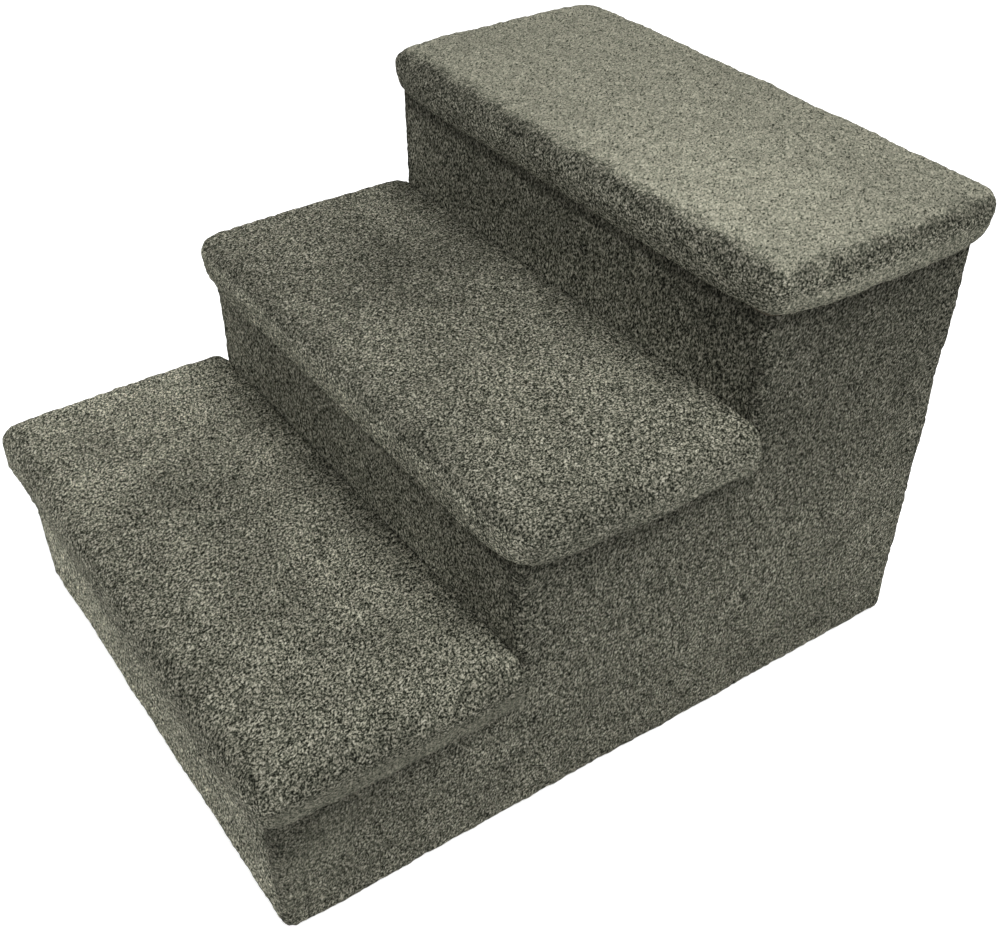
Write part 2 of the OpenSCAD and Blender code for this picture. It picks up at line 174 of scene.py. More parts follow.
class Shell:
    """A closed carpet put together from grids of points and flat rings, which share the points of their edges."""

    def __init__(self):
        self.points = []
        self.pile = []
        self.quads = []
        self.rings = []
        self.count = 0

    def add(self, points, pile):
        """Takes points with their share of the pile's height, and gives their numbers."""
        points = np.asarray(points, float).reshape(-1, 3)
        first = self.count
        self.points.append(points)
        self.pile.append(np.full(len(points), pile, float))
        self.count += len(points)
        return first + np.arange(len(points))

    def grid(self, points, pile=1.0):
        """Four-sided faces over a grid of points in rows and columns."""
        rows, cols = points.shape[:2]
        index = self.add(points, pile).reshape(rows, cols)
        quads = np.stack([index[:-1, :-1], index[:-1, 1:], index[1:, 1:], index[1:, :-1]], axis=-1)
        self.quads.append((quads.reshape(-1, 4), pile > 0))

    def ring(self, *runs, shows=False):
        """One flat face whose edge runs through the given runs of points."""
        self.rings.append((self.add(np.concatenate([np.reshape(run, (-1, 3)) for run in runs]), 0.0), shows))

    def build(self, name):
        """The mesh: points closer than the weld are merged, empty faces are left out and all faces point out."""
        points = np.concatenate(self.points)
        pile = np.concatenate(self.pile)
        keys = np.round(points / WELD + WELD_SHIFT).astype(np.int64)
        _, first, merged = np.unique(keys, axis=0, return_index=True, return_inverse=True)
        merged = merged.reshape(-1)
        weight = np.zeros(len(first))
        np.maximum.at(weight, merged, pile)
        faces, outside = [], []
        for quads, shows in self.quads:
            quads = merged[quads]
            whole = np.all(quads != np.roll(quads, 1, axis=1), axis=1)
            whole &= (quads[:, 0] != quads[:, 2]) & (quads[:, 1] != quads[:, 3])
            faces += quads[whole].tolist()
            outside += [shows] * int(whole.sum())
            for quad in quads[~whole].tolist():
                corners = list(dict.fromkeys(quad))
                if len(corners) == 3:
                    faces.append(corners)
                    outside.append(shows)
        for ring, shows in self.rings:
            corners = [c for c, n in zip(merged[ring], np.roll(merged[ring], -1)) if c != n]
            faces.append([int(c) for c in corners])
            outside.append(shows)
        mesh = bpy.data.meshes.new(name)
        mesh.from_pydata(points[first], [], faces)
        shown = mesh.attributes.new("pile_face", "BOOLEAN", "FACE")
        shown.data.foreach_set("value", outside)
        weights = mesh.attributes.new("pile", "FLOAT", "POINT")
        weights.data.foreach_set("value", weight)
        work = bmesh.new()
        work.from_mesh(mesh)
        bmesh.ops.recalc_face_normals(work, faces=work.faces)
        work.to_mesh(mesh)
        work.free()
        return mesh


def place(x, y, z):
    """Points from coordinates that may be numbers or arrays of one shape."""
    return np.stack(np.broadcast_arrays(x, y, z), axis=-1).astype(float)


def tread_surface(i):
    """The carpet of tread i. Its top is a rectangle of points whose corner squares are drawn in to quarter
    discs: a point at d from the square's inner corner moves to d * max(|dx|, |dy|) / |d|. From the top's edge a
    band runs out round the nose (r sin a, r - r cos a), down, and back round the lower edge, whose radius is its
    own. It goes on under the board to the window, over the cut edge and back along the board."""
    low, high = (np.array(corner) for corner in TREADS[i])
    shell = Shell()
    butted = i < LAST
    back_r = BUTT_R if butted else NOSE_R
    x_half = high[0] - NOSE_R

    def marks(start, end, count):
        """Places from start to end, closer together in the corners."""
        return np.concatenate([
            np.linspace(start, start + CORNER, CORNER_POINTS)[:-1],
            np.linspace(start + CORNER, end - CORNER, count + 1),
            np.linspace(end - CORNER, end, CORNER_POINTS)[1:],
        ])

    def outline(y_low, y_high, radii):
        """Points of a rectangle: their places, those with its corners drawn in, and the ways out from there."""
        x, y = np.meshgrid(marks(-x_half, x_half, steps_over(2 * x_half, PILE_STEP)),
                           marks(y_low, y_high, steps_over(high[1] - low[1] - 2 * NOSE_R, PILE_STEP)))
        (front_left, front_right), (back_left, back_right) = radii
        flat_r = np.where(y < (y_low + y_high) / 2, np.where(x < 0, front_left, front_right),
                          np.where(x < 0, back_left, back_right))
        core_x = np.clip(x, -x_half + flat_r, x_half - flat_r)
        core_y = np.clip(y, y_low + flat_r, y_high - flat_r)
        dx, dy = x - core_x, y - core_y
        length = np.hypot(dx, dy)
        draw = np.maximum(np.abs(dx), np.abs(dy)) / np.where(length > 0, length, 1.0)
        draw = np.where(length > 0, draw, 1.0)
        away = np.stack([dx, dy], -1) / np.where(length > 0, length, 1.0)[..., None]
        return np.stack([x, y], -1), np.stack([core_x + dx * draw, core_y + dy * draw], -1), away

    def edge_loop(grid):
        """The grid's edge points in order, with the first one again at the end."""
        return np.concatenate([grid[0], grid[1:, -1], grid[-1, -2::-1], grid[-2::-1, 0]])

    def pulled(points):
        """The outside with its corners pulled in: along x and y by pull exp(-(d / reach)^2), d being the distance
        to the corner in plan, in full at the foot and by a share of that on top."""
        for y, row in zip((low[1], high[1]), TREAD_PULL[i]):
            for x, pull in zip((low[0], high[0]), row):
                gap = np.hypot(points[..., 0] - x, points[..., 1] - y)
                step = pull * np.exp(-(gap / PULL_REACH) ** 2)
                step *= PULL_ON_TOP + (1.0 - PULL_ON_TOP) * (high[2] - points[..., 2]) / (high[2] - low[2])
                outward = math.copysign(1.0, x), math.copysign(1.0, y - low[1] - MM)
                points = points - place(outward[0] * step, outward[1] * step, 0.0)
        return points

    # The top, the nose, the face and the lower edge
    square, top, away = outline(low[1] + NOSE_R, high[1] - back_r, np.array(TREAD_PLAN_R[i]) - NOSE_R)
    shell.grid(pulled(place(top[..., 0], top[..., 1], high[2])))
    square, edge, away = edge_loop(square), edge_loop(top), edge_loop(away)
    behind = smooth(0.0, 1.0, away[:, 1])
    radius = NOSE_R + (back_r - NOSE_R) * behind

    turn = quarter_turn(NOSE_R)[:, None]
    down = np.linspace(0.0, 1.0, steps_over(high[2] - low[2] - 2 * NOSE_R, PILE_STEP) + 1)[1:-1, None]
    slack = np.maximum(-away[:, 0], 0.0 if butted else away[:, 1])
    slack = np.maximum(smooth(0.0, 1.0, slack), CORNER_SLACK * np.abs(away[:, 0] * away[:, 1]))
    slack = slack * (1.0 - behind) if butted else slack
    front_r, end_r = FOOT_R[i]
    tight_r = np.minimum(radius, front_r + (end_r - front_r) * smooth(0.0, 1.0, away[:, 0]))
    foot_r = tight_r * (1.0 - slack) + SLACK_R * slack
    reach = np.concatenate([radius * np.sin(turn), radius + 0.0 * down, radius - foot_r * (1.0 - np.cos(turn))])
    drop = np.concatenate([
        high[2] - radius * (1.0 - np.cos(turn)),
        (high[2] - radius) * (1.0 - down) + (low[2] + foot_r) * down,
        low[2] + foot_r * (1.0 - np.sin(turn)),
    ])
    shell.grid(pulled(place(edge[:, 0] + away[:, 0] * reach, edge[:, 1] + away[:, 1] * reach, drop)))

    # Under the board to the window, and the cut edge there
    share_x = square[:, 0] / x_half
    share_y = (square[:, 1] - square[:, 1].min()) / (square[:, 1].max() - square[:, 1].min())
    window = np.stack([
        share_x * (high[0] - TURN_IN),
        low[1] + TURN_IN + share_y * (high[1] - low[1] - 2 * TURN_IN),
    ], -1)
    share = np.linspace(0.0, 1.0, steps_over(TURN_IN - NOSE_R, HEM_STEP) + 1)[:, None]
    turned = edge + away * (radius - foot_r)[:, None]
    under = turned[None] + (window - turned)[None] * share[..., None]
    shell.grid(pulled(place(under[..., 0], under[..., 1], low[2])), pile=HEM_PILE)
    rim = np.linspace(0.0, 1.0, 4)[:, None] * CARPET_T
    shell.grid(place(window[:, 0], window[:, 1], low[2] + rim), pile=CUT_PILE)

    # The inside, which lies against the board
    board_back = high[1] - (CARPET_T + SQUARE_R if butted else NOSE_R)
    board_r = BOARD_PLAN_R - BOARD_EDGE_R
    _, inner, away = outline(low[1] + NOSE_R, board_back, ((board_r, board_r), (board_r, board_r)))
    inner, away = edge_loop(inner), edge_loop(away)
    behind = smooth(0.0, 1.0, away[:, 1]) * (1.0 if butted else 0.0)
    radius = BOARD_EDGE_R + (SQUARE_R - BOARD_EDGE_R) * behind
    turn = np.linspace(0.0, math.pi / 2, 3)[:, None]
    shell.grid(np.stack([place(window[:, 0], window[:, 1], low[2] + CARPET_T),
                         place(inner[:, 0], inner[:, 1], low[2] + CARPET_T)]), pile=0)
    reach = np.concatenate([radius * np.sin(turn), radius * np.cos(turn)])
    rise = np.concatenate([
        low[2] + CARPET_T + radius * (1.0 - np.cos(turn)),
        high[2] - CARPET_T - radius * (1.0 - np.sin(turn)),
    ])
    shell.grid(place(inner[:, 0] + away[:, 0] * reach, inner[:, 1] + away[:, 1] * reach, rise), pile=0)
    shell.ring(place(inner[:-1, 0], inner[:-1, 1], high[2] - CARPET_T))
    return shell


def side_surface(side):
    """The carpet of one side: three storeys of points in rows of height and columns of depth. Each upright
    corner is a quarter turn of carpet's thickness, (board_x + r sin a, y + r - r cos a). The bottom edge is the
    same turn about the board's edge, and the hem runs on under the board and up inside it. The left side's points
    are mirrored at the end."""
    shell = Shell()
    r = CARPET_T
    quarter = quarter_turn(r)
    arc_y, arc_x = r - r * np.cos(quarter), r * np.sin(quarter)
    hem_front, hem_back = RISER_Y[0] + SKIN_T, BACK_Y - SKIN_T
    even = np.linspace(0.0, r, len(quarter))

    # Where the columns stand, and at which of them each storey's front corner starts
    starts = []
    runs = []
    count = 0
    for i in range(len(STEPS)):
        starts.append(count)
        far = RISER_Y[i + 1] if i < LAST else hem_back
        flats = [RISER_Y[i] + r, hem_front, far] if i == 0 else [RISER_Y[i] + r, far]
        flat = [spread(a, b, PILE_STEP)[1:] for a, b in zip(flats[:-1], flats[1:])]
        run = np.concatenate([RISER_Y[i] + arc_y] + flat)
        runs.append(run if i == LAST else run[:-1])
        count += len(runs[-1])
    tail = np.concatenate([spread(hem_back, BACK_Y - r, PILE_STEP)[1:], BACK_Y - arc_y[-2::-1]])
    depth = np.concatenate(runs + [tail])
    arc = len(quarter)
    back_start = len(depth) - arc

    def storey_rows(i, heights):
        """Columns' depths and places across, for the rows of one storey, from its own front corner on."""
        y = np.repeat(depth[None], len(heights), axis=0)
        x = np.full(y.shape, BOARD_X + r)
        for j in range(i + 1, len(STEPS)):
            eased = 1.0 - smooth(0.0, EASE_DOWN, TREAD_FOOT[j - 1] - heights)[:, None]
            span = slice(starts[j], starts[j] + arc)
            y[:, span] = RISER_Y[j] + even + (arc_y - even) * eased
        x[:, starts[i]:starts[i] + arc] = BOARD_X + arc_x
        x[:, back_start:] = BOARD_X + arc_x[::-1]
        return x[:, starts[i]:], y[:, starts[i]:]

    # The turn at the bottom, then the storeys, the ledges on top of them, the hem and the inside
    bend = quarter[::-1]
    x0, y0 = storey_rows(0, np.zeros(len(bend)) + r)
    shrink = np.cos(bend)[:, None]
    front_turn = np.clip(RISER_Y[0] + r - y0, 0.0, None)
    back_turn = np.clip(y0 - (BACK_Y - r), 0.0, None)
    turned_y = y0 + (front_turn - back_turn) * (1.0 - shrink)
    foot = place(BOARD_X + (x0 - BOARD_X) * shrink, turned_y, (r - r * np.sin(bend))[:, None])
    shell.grid(foot)

    below = 0.0
    tops = []
    fronts = []
    backs = []
    for i in range(len(STEPS)):
        heights = spread(r if i == 0 else below, TREAD_FOOT[i], PILE_STEP)
        x, y = storey_rows(i, heights)
        rows = place(x, y, heights[:, None])
        shell.grid(rows)
        tops.append(rows[-1])
        fronts.append(rows[:, 0])
        backs.append(rows[:, -1])
        below = TREAD_FOOT[i]

    ledges = []
    for i in range(LAST):
        n = starts[i + 1] - starts[i] + arc
        outer = tops[i][:n]
        inner = outer.copy()
        inner[:, 0] = BOARD_X
        inner[-arc:, 0] = BOARD_X + arc_x
        shell.grid(np.stack([outer, inner]), pile=0)
        ledges.append(inner[:n - arc + 1])
    shell.ring(tops[LAST])

    hem = (foot[0, :, 1] > hem_front - WELD) & (foot[0, :, 1] < hem_back + WELD)
    hem_y = foot[0, hem, 1]
    under = spread(BOARD_X, HOLLOW_X, HEM_STEP)
    curl = np.linspace(0.0, math.pi / 2, CURL_POINTS)[1:]
    up = spread(r, HEM_TOP, HEM_STEP)[1:]
    path_x = np.concatenate([under, HOLLOW_X - r * np.sin(curl), np.full(len(up), HEM_X)])
    path_z = np.concatenate([np.zeros(len(under)), r - r * np.cos(curl), up])
    shell.grid(place(path_x[:, None], hem_y[None], path_z[:, None]), pile=HEM_PILE)
    for y in (hem_front, hem_back):
        shell.ring(place(path_x, y, path_z),
                   place(np.array([HOLLOW_X, HOLLOW_X, BOARD_X]), y, np.array([HEM_TOP, r, r])))
    shell.ring(place(HEM_X, hem_y, HEM_TOP), place(HOLLOW_X, np.array([hem_back, hem_front]), HEM_TOP))
    for x, z in (((HOLLOW_X, HOLLOW_X), (HEM_TOP, r)), ((HOLLOW_X, BOARD_X), (r, r))):
        shell.ring(place(x[0], np.array([hem_front, hem_back]), z[0]),
                   place(x[1], np.array([hem_back, hem_front]), z[1]))

    before_hem = foot[0][foot[0, :, 1] <= hem_front + WELD][::-1]
    after_hem = foot[0][foot[0, :, 1] >= hem_back - WELD][::-1]
    shell.ring(
        place(BOARD_X, hem_front, r), before_hem, foot[:, 0],
        fronts[0], ledges[0], fronts[1], ledges[1], fronts[2],
        backs[2][::-1], backs[1][::-1], backs[0][::-1], foot[::-1, -1], after_hem,
        place(BOARD_X, hem_back, r),
    )
    if side < 0:
        for points in shell.points:
            points[:, 0] *= -1
    return shell


def end_surface(face, inward, top):
    """The carpet of the lower riser or the back: a profile carried along X, down the face, round the bottom edge
    (r - r cos a, r - r sin a), under the board, and up inside it as a hem, which is narrower."""
    shell = Shell()
    r = CARPET_T
    across = np.concatenate([
        spread(-BOARD_X, -HEM_X, PILE_STEP),
        spread(-HEM_X, HEM_X, PILE_STEP)[1:],
        spread(HEM_X, BOARD_X, PILE_STEP)[1:],
    ])
    bend = quarter_turn(r)[1:]
    fall = spread(top, r, PILE_STEP)
    under = spread(r, SKIN_T, HEM_STEP)[1:]
    path_y = np.concatenate([0.0 * fall, r - r * np.cos(bend), under])
    path_z = np.concatenate([fall, r - r * np.sin(bend), 0.0 * under])
    shell.grid(place(across[None], face + inward * path_y[:, None], path_z[:, None]))

    curl = np.linspace(0.0, math.pi / 2, CURL_POINTS)
    up = spread(r, HEM_TOP, HEM_STEP)[1:]
    hem_y = np.concatenate([SKIN_T + r * np.sin(curl), np.full(len(up), SKIN_T + r)])
    hem_z = np.concatenate([r - r * np.cos(curl), up])
    hem_x = across[(across > -HEM_X - WELD) & (across < HEM_X + WELD)]
    shell.grid(place(hem_x[None], face + inward * hem_y[:, None], hem_z[:, None]), pile=HEM_PILE)

    near, far = face + inward * r, face + inward * SKIN_T
    for end in (-1, 1):
        shell.ring(place(end * BOARD_X, face + inward * path_y, path_z),
                   place(end * BOARD_X, np.array([far, near, near]), np.array([r, r, top])), shows=True)
        shell.ring(place(end * HEM_X, face + inward * hem_y, hem_z),
                   place(end * HEM_X, far, np.array([HEM_TOP, r])))
        rest = across[end * across > HEM_X - WELD]
        shell.ring(place(rest, far, 0.0), place(rest[[-1, 0]], far, r))
    shell.ring(place(across, face, top), place(np.array([BOARD_X, -BOARD_X]), near, top))
    shell.ring(place(hem_x, face + inward * hem_y[-1], HEM_TOP), place(np.array([HEM_X, -HEM_X]), far, HEM_TOP))
    corners = np.array([-BOARD_X, BOARD_X])
    shell.ring(place(corners, near, top), place(corners[::-1], near, r))
    shell.ring(place(corners, near, r), place(np.array([BOARD_X, HEM_X, -HEM_X, -BOARD_X]), far, r))
    shell.ring(place(np.array([-HEM_X, HEM_X]), far, HEM_TOP), place(np.array([HEM_X, -HEM_X]), far, r))
    return shell


def riser_surface(i):
    """The flat carpet of riser i: a rectangle of points in front, with a plain back and cut edges."""
    shell = Shell()
    low, high = (np.array(corner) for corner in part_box(STEPS[i] + "_riser_carpet"))
    across = spread(low[0], high[0], PILE_STEP)
    heights = spread(low[2], high[2], PILE_STEP)
    shell.grid(place(across[None], low[1], heights[:, None]))
    ends = np.array([low[0], high[0]])
    for z in (low[2], high[2]):
        shell.ring(place(across, low[1], z), place(ends[::-1], high[1], z))
    for x in ends:
        shell.ring(place(x, low[1], heights), place(x, high[1], heights[[-1, 0]]), shows=True)
    shell.ring(place(ends, high[1], low[2]), place(ends[::-1], high[1], high[2]))
    return shell


def raise_pile(mesh, seed):
    """Moves each pile point along its normal by the tufts' height: clumps of 3 and 6 mm, and the slow waviness
    of hand-stretched carpet. Keeps the clumps' height as a share, for the material, which paints shade into their
    low spots from it, and gives the points and normals from before."""
    count = len(mesh.vertices)
    points = np.empty(count * 3)
    mesh.vertices.foreach_get("co", points)
    points = points.reshape(-1, 3)
    normals = np.empty(count * 3)
    mesh.vertex_normals.foreach_get("vector", normals)
    normals = normals.reshape(-1, 3)
    pile = np.empty(count)
    mesh.attributes["pile"].data.foreach_get("value", pile)
    clumps = layered_noise(points, seed, CLUMPS)
    waves = layered_noise(points, seed + len(CLUMPS), WAVES)
    lift = (CLUMP_LIFT * clumps + WAVE_LIFT * waves) * MM * pile
    raised = points + normals * lift[:, None]
    raised[:, 2] = np.maximum(raised[:, 2], 0.0)
    mesh.vertices.foreach_set("co", raised.reshape(-1))
    heights = mesh.attributes.new("tuft", "FLOAT", "POINT")
    heights.data.foreach_set("value", 0.5 + 0.5 * clumps)
    mesh.update()
    return points, normals


def linear(code):
    """An sRGB hex colour as a linear one with full alpha."""
    parts = [int(code[i:i + 2], 16) / 255 for i in (1, 3, 5)]
    return tuple(c / 12.92 if c <= 0.04045 else ((c + 0.055) / 1.055) ** 2.4 for c in parts) + (1.0,)


def new_material(name):
    """An empty node material with its Principled shader joined to its output."""
    material = bpy.data.materials.new(name)
    material.use_nodes = True
    tree = material.node_tree
    tree.nodes.clear()
    output = tree.nodes.new("ShaderNodeOutputMaterial")
    shader = tree.nodes.new("ShaderNodeBsdfPrincipled")
    tree.links.new(shader.outputs["BSDF"], output.inputs["Surface"])
    return material, tree, shader


def add(tree, kind, settings=None, **inputs):
    """Adds a node, sets its settings, and sets or links its inputs. A key such as i1 is the input's number, and
    any other is its name with underscores for spaces. A value that is a socket is linked."""
    node = tree.nodes.new(kind)
    for key, value in (settings or {}).items():
        setattr(node, key, value)
    for key, value in inputs.items():
        socket = node.inputs[int(key[1:])] if key[1:].isdigit() else node.inputs[key.replace("_", " ")]
        if isinstance(value, bpy.types.NodeSocket):
            tree.links.new(value, socket)
        else:
            socket.default_value = value
    return node


def ramp(tree, value, stops):
    """A colour ramp through (place, linear colour) stops."""
    node = add(tree, "ShaderNodeValToRGB", Fac=value)
    elements = node.color_ramp.elements
    while len(elements) < len(stops):
        elements.new(0.5)
    for element, (where, colour) in zip(elements, stops):
        element.position = where
        element.color = colour
    return node.outputs["Color"]


def scaled(size):
    """The scale of a pattern on Object coordinates whose repeat is the given size in metres."""
    return 1.0 / size


def maths(tree, operation, a, b=0.0, c=0.0):
    """What an operation makes of up to three numbers."""
    return add(tree, "ShaderNodeMath", {"operation": operation}, i0=a, i1=b, i2=c).outputs[0]


def vectors(tree, operation, a, **inputs):
    """The vector that an operation makes of a vector and its other inputs."""
    return add(tree, "ShaderNodeVectorMath", {"operation": operation}, i0=a, **inputs).outputs[0]


def noise(tree, at, size, detail, **inputs):
    """A noise pattern whose cells have the given size in metres."""
    return add(tree, "ShaderNodeTexNoise", Vector=at, Scale=scaled(size), Detail=detail, **inputs)


def stepped(tree, value, edge0, edge1, start, end):
    """A smooth step over a value, from start below edge0 to end above edge1."""
    return add(tree, "ShaderNodeMapRange", {"interpolation_type": "SMOOTHSTEP"}, Value=value,
               i1=edge0, i2=edge1, i3=start, i4=end).outputs[0]


def kept(tree, name):
    """The node of a value that the mesh keeps for each point."""
    return add(tree, "ShaderNodeAttribute", {"attribute_name": name})


def here(tree):
    """The place in the piece's own coordinates."""
    return add(tree, "ShaderNodeTexCoord").outputs["Object"]


def finish(tree, shader, colour, height=None, strength=1.0, depth=0.0, **inputs):
    """Gives a shader its colour, the relief of a height with the given depth in metres, and its other values."""
    tree.links.new(colour, shader.inputs["Base Color"])
    if height is not None:
        bump = add(tree, "ShaderNodeBump", Height=height, Strength=strength, Distance=depth)
        tree.links.new(bump.outputs["Normal"], shader.inputs["Normal"])
    for key, value in inputs.items():
        shader.inputs[key.replace("_", " ")].default_value = value


def seen_directly(tree):
    """1 for what the camera sees, also in reflections and through glass, and 0 for what lights a surface."""
    path = add(tree, "ShaderNodeLightPath")
    seen = maths(tree, "MAXIMUM", path.outputs["Is Camera Ray"], path.outputs["Is Glossy Ray"])
    return maths(tree, "MAXIMUM", seen, path.outputs["Is Transmission Ray"])


# Sizes in the pile's pattern: its swirls and how far they push, its yarn ends, strands, fibres and flecks, and the
# depth of its relief
SWIRL, SWIRL_PUSH = 3 * MM, 1.5 * MM
YARN_END, STRAND, FIBRE, FLECK = 2.1 * MM, 1.2 * MM, 0.65 * MM, 1.4 * MM
PILE_RELIEF = 2.0 * MM


def carpet_pile():
    """Cut-pile nylon carpet, tufted, steam-set and sheared: thousands of twisted yarn ends about 2 mm across with
    dark gaps between them, which bend over at random, so light tips lie beside dark ones. The colour follows their
    height, so the gaps and the low ends are painted shade. The yarn ends are drawn out along the way that the pile
    leans, and where it is brushed flat the gaps close and only flecks stay. Matt, with a faint sheen at grazing
    angles."""
    material, tree, shader = new_material("cut_pile_nylon_carpet")
    at = here(tree)
    lean = kept(tree, "lean").outputs["Vector"]
    along = add(tree, "ShaderNodeVectorMath", {"operation": "DOT_PRODUCT"}, i0=at, i1=lean).outputs["Value"]
    drawn = vectors(tree, "ADD", at, i1=vectors(tree, "SCALE", lean, Scale=maths(tree, "MULTIPLY", along, -1.0)))
    swirl = noise(tree, drawn, SWIRL, 1.0).outputs["Color"]
    drawn = vectors(tree, "ADD", drawn, i1=vectors(tree, "SCALE", swirl, Scale=SWIRL_PUSH))
    ends = add(tree, "ShaderNodeTexVoronoi", {"feature": "F1"}, Vector=drawn, Scale=scaled(YARN_END))
    ends = stepped(tree, ends.outputs["Distance"], 0.0, 0.8, 0.35, 0.0)
    # Smooth noise has its bumps about two cells apart, so the strands lie at twice their cells' size
    strands = stepped(tree, noise(tree, drawn, STRAND, 1.0).outputs["Fac"], 0.0, 1.0, -0.62, 0.53)
    fibres = noise(tree, drawn, FIBRE, 2.0, Roughness=0.65).outputs["Fac"]
    height = maths(tree, "ADD", maths(tree, "MULTIPLY_ADD", fibres, 0.9, strands), ends)
    flecks = stepped(tree, noise(tree, drawn, FLECK, 1.0).outputs["Fac"], 0.32, 0.42, -0.28, 0.0)
    pressed = maths(tree, "ADD", maths(tree, "MULTIPLY_ADD", height, 0.34, 0.43), flecks)
    brushed = kept(tree, "brushed").outputs["Fac"]
    level = add(tree, "ShaderNodeMix", i0=brushed, i2=height, i3=pressed).outputs[0]
    # The ramp takes low places to near black: painted shade in the gaps between yarn ends, over the yarn's own
    # mottled colour
    colour = ramp(tree, level, [
        (0.0, linear("#050504")),
        (0.25, linear("#262821")),
        (0.5, linear("#66685B")),
        (0.75, linear("#A5A291")),
        (1.0, linear("#CECBBB")),
    ])
    # Painted shade in the clumps' low spots and painted light on their tops, times the tone
    tuft = kept(tree, "tuft").outputs["Fac"]
    tone = kept(tree, "tone").outputs["Fac"]
    shade = maths(tree, "MULTIPLY", maths(tree, "MULTIPLY_ADD", tuft, 0.5, 0.75), tone)
    finish(tree, shader, vectors(tree, "SCALE", colour, Scale=shade), level, 1.0, PILE_RELIEF,
           Roughness=0.95, Specular_IOR_Level=0.05,
           Sheen_Weight=0.05, Sheen_Roughness=0.6, Sheen_Tint=linear("#8E8E74"))
    return material


TAPE_W = 2.5 * MM
GRAIN_STRETCH = 0.06
GROWTH_RINGS = 60.0
PLATING_CLOUD = 1.6 * MM


def carpet_backing():
    """Woven polypropylene backing with a latex coat: a flat oatmeal weave of tapes, quite dull."""
    material, tree, shader = new_material("woven_carpet_backing")
    axes = add(tree, "ShaderNodeSeparateXYZ", Vector=here(tree))
    waves = [maths(tree, "SINE", maths(tree, "MULTIPLY", axes.outputs[i], 2 * math.pi / TAPE_W)) for i in range(3)]
    weave = maths(tree, "MULTIPLY", maths(tree, "ADD", waves[0], waves[2]), waves[1])
    weave = maths(tree, "MULTIPLY_ADD", weave, 0.25, 0.5)
    colour = ramp(tree, weave, [(0.0, linear("#6F675A")), (1.0, linear("#B3A994"))])
    finish(tree, shader, colour, weave, 0.5, 0.3 * MM, Roughness=0.85)
    return material


def timber(name, pale, dark, grain, ring, roughness, along):
    """Sawn softwood or a rotary-cut veneer: long grain lines drawn out along one axis, with growth rings that
    waver, and a dull sawn face."""
    material, tree, shader = new_material(name)
    stretch = [1.0, 1.0, 1.0]
    stretch[along] = GRAIN_STRETCH
    drawn = vectors(tree, "MULTIPLY", here(tree), i1=tuple(stretch))
    rings = noise(tree, drawn, ring, 2.0, Distortion=0.6).outputs["Fac"]
    bands = maths(tree, "MULTIPLY_ADD", maths(tree, "SINE", maths(tree, "MULTIPLY", rings, GROWTH_RINGS)), 0.5, 0.5)
    fibres = noise(tree, drawn, grain, 3.0).outputs["Fac"]
    mixed = maths(tree, "ADD", maths(tree, "MULTIPLY", bands, 0.45), maths(tree, "MULTIPLY", fibres, 0.55))
    colour = ramp(tree, mixed, [(0.1, linear(dark)), (0.85, linear(pale))])
    finish(tree, shader, colour, mixed, 0.35, 0.25 * MM, Roughness=roughness, Specular_IOR_Level=0.3)
    return material


def drawn_steel(name, code, roughness, mottle):
    """Drawn and plated steel: a metal with small cloudy differences in its plating and in its gloss."""
    material, tree, shader = new_material(name)
    clouds = noise(tree, here(tree), PLATING_CLOUD, 3.0).outputs["Fac"]
    base = linear(code)
    dull = tuple(c * mottle for c in base[:3]) + (1.0,)
    finish(tree, shader, ramp(tree, clouds, [(0.35, dull), (0.65, base)]), Metallic=1.0)
    tree.links.new(maths(tree, "MULTIPLY_ADD", clouds, 0.25, roughness - 0.12), shader.inputs["Roughness"])
    return material


PILE = carpet_pile()
BACKING = carpet_backing()


def keep(mesh, name, kind, values):
    """Keeps a value for each point of the mesh, for its material."""
    attribute = mesh.attributes.new(name, kind, "POINT")
    attribute.data.foreach_set("vector" if kind == "FLOAT_VECTOR" else "value", np.ravel(values))


def painted_overhang_shade(points, level, reach, depth):
    """Painted shade below a tread's overhang: the pile's tone goes to 1 - depth as far down as reach, and to 1
    where it has faded out below that."""
    ragged = 1.2 * MM * lattice_noise(points, 6 * MM, PAINTED_SHADE_SEED)
    return 1.0 - depth * (1.0 - smooth(reach, reach + PAINTED_SHADE_FADE, level - points[:, 2] + ragged))


def patches(points, marks):
    """How much lighter or darker the pile lies in some places, which hands and vacuum strokes leave behind: each
    mark is (x, y, z, radius, gain) in mm, and fades as 1 + gain exp(-(d / radius)^2) from a ragged place."""
    push = np.stack([lattice_noise(points, PATCH_CELL, PATCH_SEED + i) for i in range(3)], -1)
    moved = points / MM + PATCH_PUSH * push
    tone = np.ones(len(points))
    for x, y, z, radius, gain in marks:
        tone *= 1.0 + gain * np.exp(-np.sum((moved - (x, y, z)) ** 2, axis=1) / radius ** 2)
    return tone


